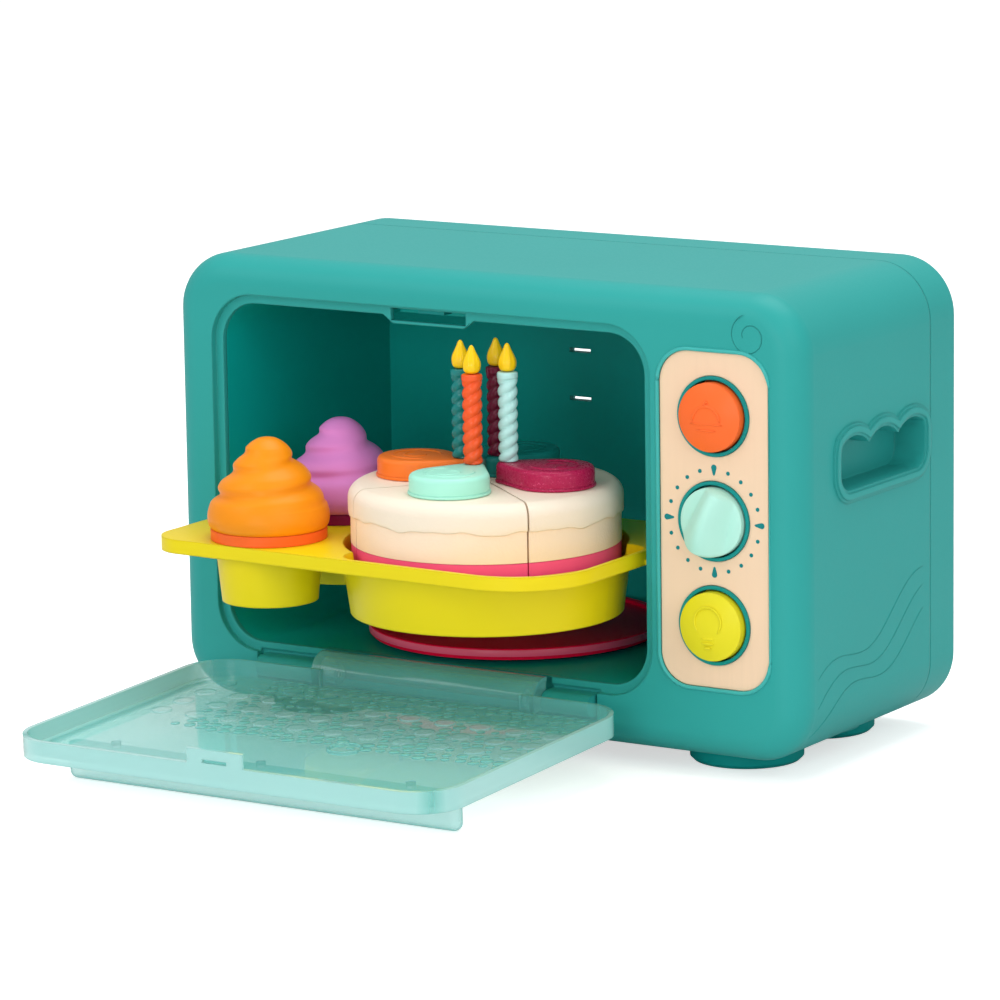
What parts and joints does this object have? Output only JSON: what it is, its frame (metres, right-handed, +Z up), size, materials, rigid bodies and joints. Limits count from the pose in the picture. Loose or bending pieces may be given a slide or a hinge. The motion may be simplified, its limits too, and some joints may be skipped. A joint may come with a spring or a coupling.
{
  "type": "toy oven",
  "caption": "Toy oven with a drop-down door, pull-out tray, turntable, timer dial, push buttons, a sliced play cake and play cupcakes.",
  "frame": {"origin": "centre of the whole part's floor rectangle with the door open, at floor height", "axes": "+X to the right along the front, +Y from the front to the back, +Z up"},
  "size_m": [0.3132, 0.2968, 0.2026],
  "materials": {
    "teal_shell": "satin moulded plastic",
    "teal_deep": "satin moulded plastic",
    "cavity_teal": "satin moulded plastic",
    "panel_beige": "satin moulded plastic",
    "button_orange": "satin moulded plastic",
    "dial_mint": "satin moulded plastic",
    "button_yellow": "satin moulded plastic",
    "door_clear": "milky see-through plastic",
    "tray_lime": "smooth moulded plastic",
    "turntable_crimson": "smooth see-through tinted plastic",
    "steel": "bright steel",
    "brass": "plated contact",
    "board_green": "lacquered board",
    "black_plastic": "moulded plastic",
    "cell_wrap": "plain wrapped cell",
    "foot_rubber": "soft moulded foot",
    "case_orange": "satin moulded plastic",
    "swirl_orange": "satin moulded plastic",
    "case_magenta": "satin moulded plastic",
    "swirl_pink": "satin moulded plastic",
    "cake_pink": "satin moulded plastic",
    "cake_cream": "satin moulded plastic",
    "topping_orange": "satin moulded plastic",
    "topping_mint": "satin moulded plastic",
    "topping_magenta": "plastic with fine glitter",
    "topping_teal": "satin moulded plastic",
    "candle_orange": "glossy moulded plastic",
    "candle_mint": "glossy moulded plastic",
    "candle_maroon": "glossy moulded plastic",
    "candle_teal": "glossy moulded plastic",
    "flame_yellow": "glossy moulded plastic"
  },
  "bodies": {
    "case": {"front_shell": "teal_shell", "back_cover": "teal_shell", "cavity_liner": "cavity_teal", "control_panel": "panel_beige", "button_collars": "teal_deep", "control_board": "board_green", "push_switches": "black_plastic", "dial_switch": "black_plastic", "board_screws": "steel", "speaker": "black_plastic", "battery_box": "teal_deep", "battery_contacts": "brass", "batteries": "cell_wrap", "battery_hatch": "teal_shell", "hatch_screw": "steel", "case_screws": "steel", "feet": "foot_rubber", "latch_catch": "teal_deep", "hinge_pins": "steel", "turntable_spindle": "steel", "top_spring": "steel", "bottom_spring": "steel"},
    "door": {"oven_door": "door_clear", "door_handle": "teal_deep"},
    "tray": {"baking_tray": "tray_lime", "slice_base_right": "cake_pink", "slice_top_right": "cake_cream", "slice_base_back": "cake_pink", "slice_top_back": "cake_cream", "slice_base_left": "cake_pink", "slice_top_left": "cake_cream", "topping_right": "topping_magenta", "topping_back": "topping_teal", "topping_left": "topping_orange"},
    "turntable_disc": {"turntable": "turntable_crimson"},
    "dial": {"timer_dial": "dial_mint", "dial_clip": "steel"},
    "upper_button": {"top_button": "button_orange"},
    "lower_button": {"bottom_button": "button_yellow"},
    "front_slice": {"slice_base_front": "cake_pink", "slice_top_front": "cake_cream"},
    "front_topping": {"topping_front": "topping_mint"},
    "front_candle": {"candle_front": "candle_orange", "flame_front": "flame_yellow"},
    "right_candle": {"candle_right": "candle_mint", "flame_right": "flame_yellow"},
    "back_candle": {"candle_back": "candle_maroon", "flame_back": "flame_yellow"},
    "left_candle": {"candle_left": "candle_teal", "flame_left": "flame_yellow"},
    "front_cupcake": {"cupcake_base_front": "case_orange"},
    "front_swirl": {"cupcake_swirl_front": "swirl_orange"},
    "back_cupcake": {"cupcake_base_back": "case_magenta"},
    "back_swirl": {"cupcake_swirl_back": "swirl_pink"}
  },
  "joints": [
    {"name": "door_hinge", "type": "hinge", "parent": "case", "child": "door", "pos_m": [0, 0.00954, 0.025], "axis": [1, 0, 0], "range_deg": [-92.18, 0]},
    {"name": "tray_slide", "type": "slide", "parent": "case", "child": "tray", "axis": [0, -1, 0], "range_m": [-0.063, 0]},
    {"name": "turntable_spin", "type": "hinge", "parent": "case", "child": "turntable_disc", "pos_m": [-0.024, 0.07914, 0.038], "axis": [0, 0, 1], "continuous": true},
    {"name": "dial_turn", "type": "hinge", "parent": "case", "child": "dial", "pos_m": [0.11485, 0.01115, 0.1085], "axis": [0, -1, 0], "continuous": true},
    {"name": "upper_button_push", "type": "slide", "parent": "case", "child": "upper_button", "axis": [0, 1, 0], "range_m": [0, 0.003], "stiffness_N_per_m": 400, "springref_m": -0.001, "deforming": ["top_spring"]},
    {"name": "lower_button_push", "type": "slide", "parent": "case", "child": "lower_button", "axis": [0, 1, 0], "range_m": [0, 0.003], "stiffness_N_per_m": 400, "springref_m": -0.001, "deforming": ["bottom_spring"]},
    {"name": "front_slice_lift", "type": "slide", "parent": "tray", "child": "front_slice", "axis": [0, 0, 1], "range_m": [0, 0.03]},
    {"name": "front_topping_lift", "type": "slide", "parent": "front_slice", "child": "front_topping", "axis": [0, 0, 1], "range_m": [0, 0.012]},
    {"name": "front_candle_lift", "type": "slide", "parent": "front_topping", "child": "front_candle", "axis": [0, 0, 1], "range_m": [0, 0.012]},
    {"name": "right_candle_lift", "type": "slide", "parent": "tray", "child": "right_candle", "axis": [0, 0, 1], "range_m": [0, 0.007]},
    {"name": "back_candle_lift", "type": "slide", "parent": "tray", "child": "back_candle", "axis": [0, 0, 1], "range_m": [0, 0.007]},
    {"name": "left_candle_lift", "type": "slide", "parent": "tray", "child": "left_candle", "axis": [0, 0, 1], "range_m": [0, 0.007]},
    {"name": "front_cupcake_lift", "type": "slide", "parent": "tray", "child": "front_cupcake", "axis": [0, 0, 1], "range_m": [0, 0.03]},
    {"name": "front_swirl_lift", "type": "slide", "parent": "front_cupcake", "child": "front_swirl", "axis": [0, 0, 1], "range_m": [0, 0.012]},
    {"name": "back_cupcake_lift", "type": "slide", "parent": "tray", "child": "back_cupcake", "axis": [0, 0, 1], "range_m": [0, 0.03]},
    {"name": "back_swirl_lift", "type": "slide", "parent": "back_cupcake", "child": "back_swirl", "axis": [0, 0, 1], "range_m": [0, 0.012]}
  ],
  "couplings": [
    {"joint": "tray_slide", "follows": "door_hinge", "m_per_rad": 0.03915}
  ]
}
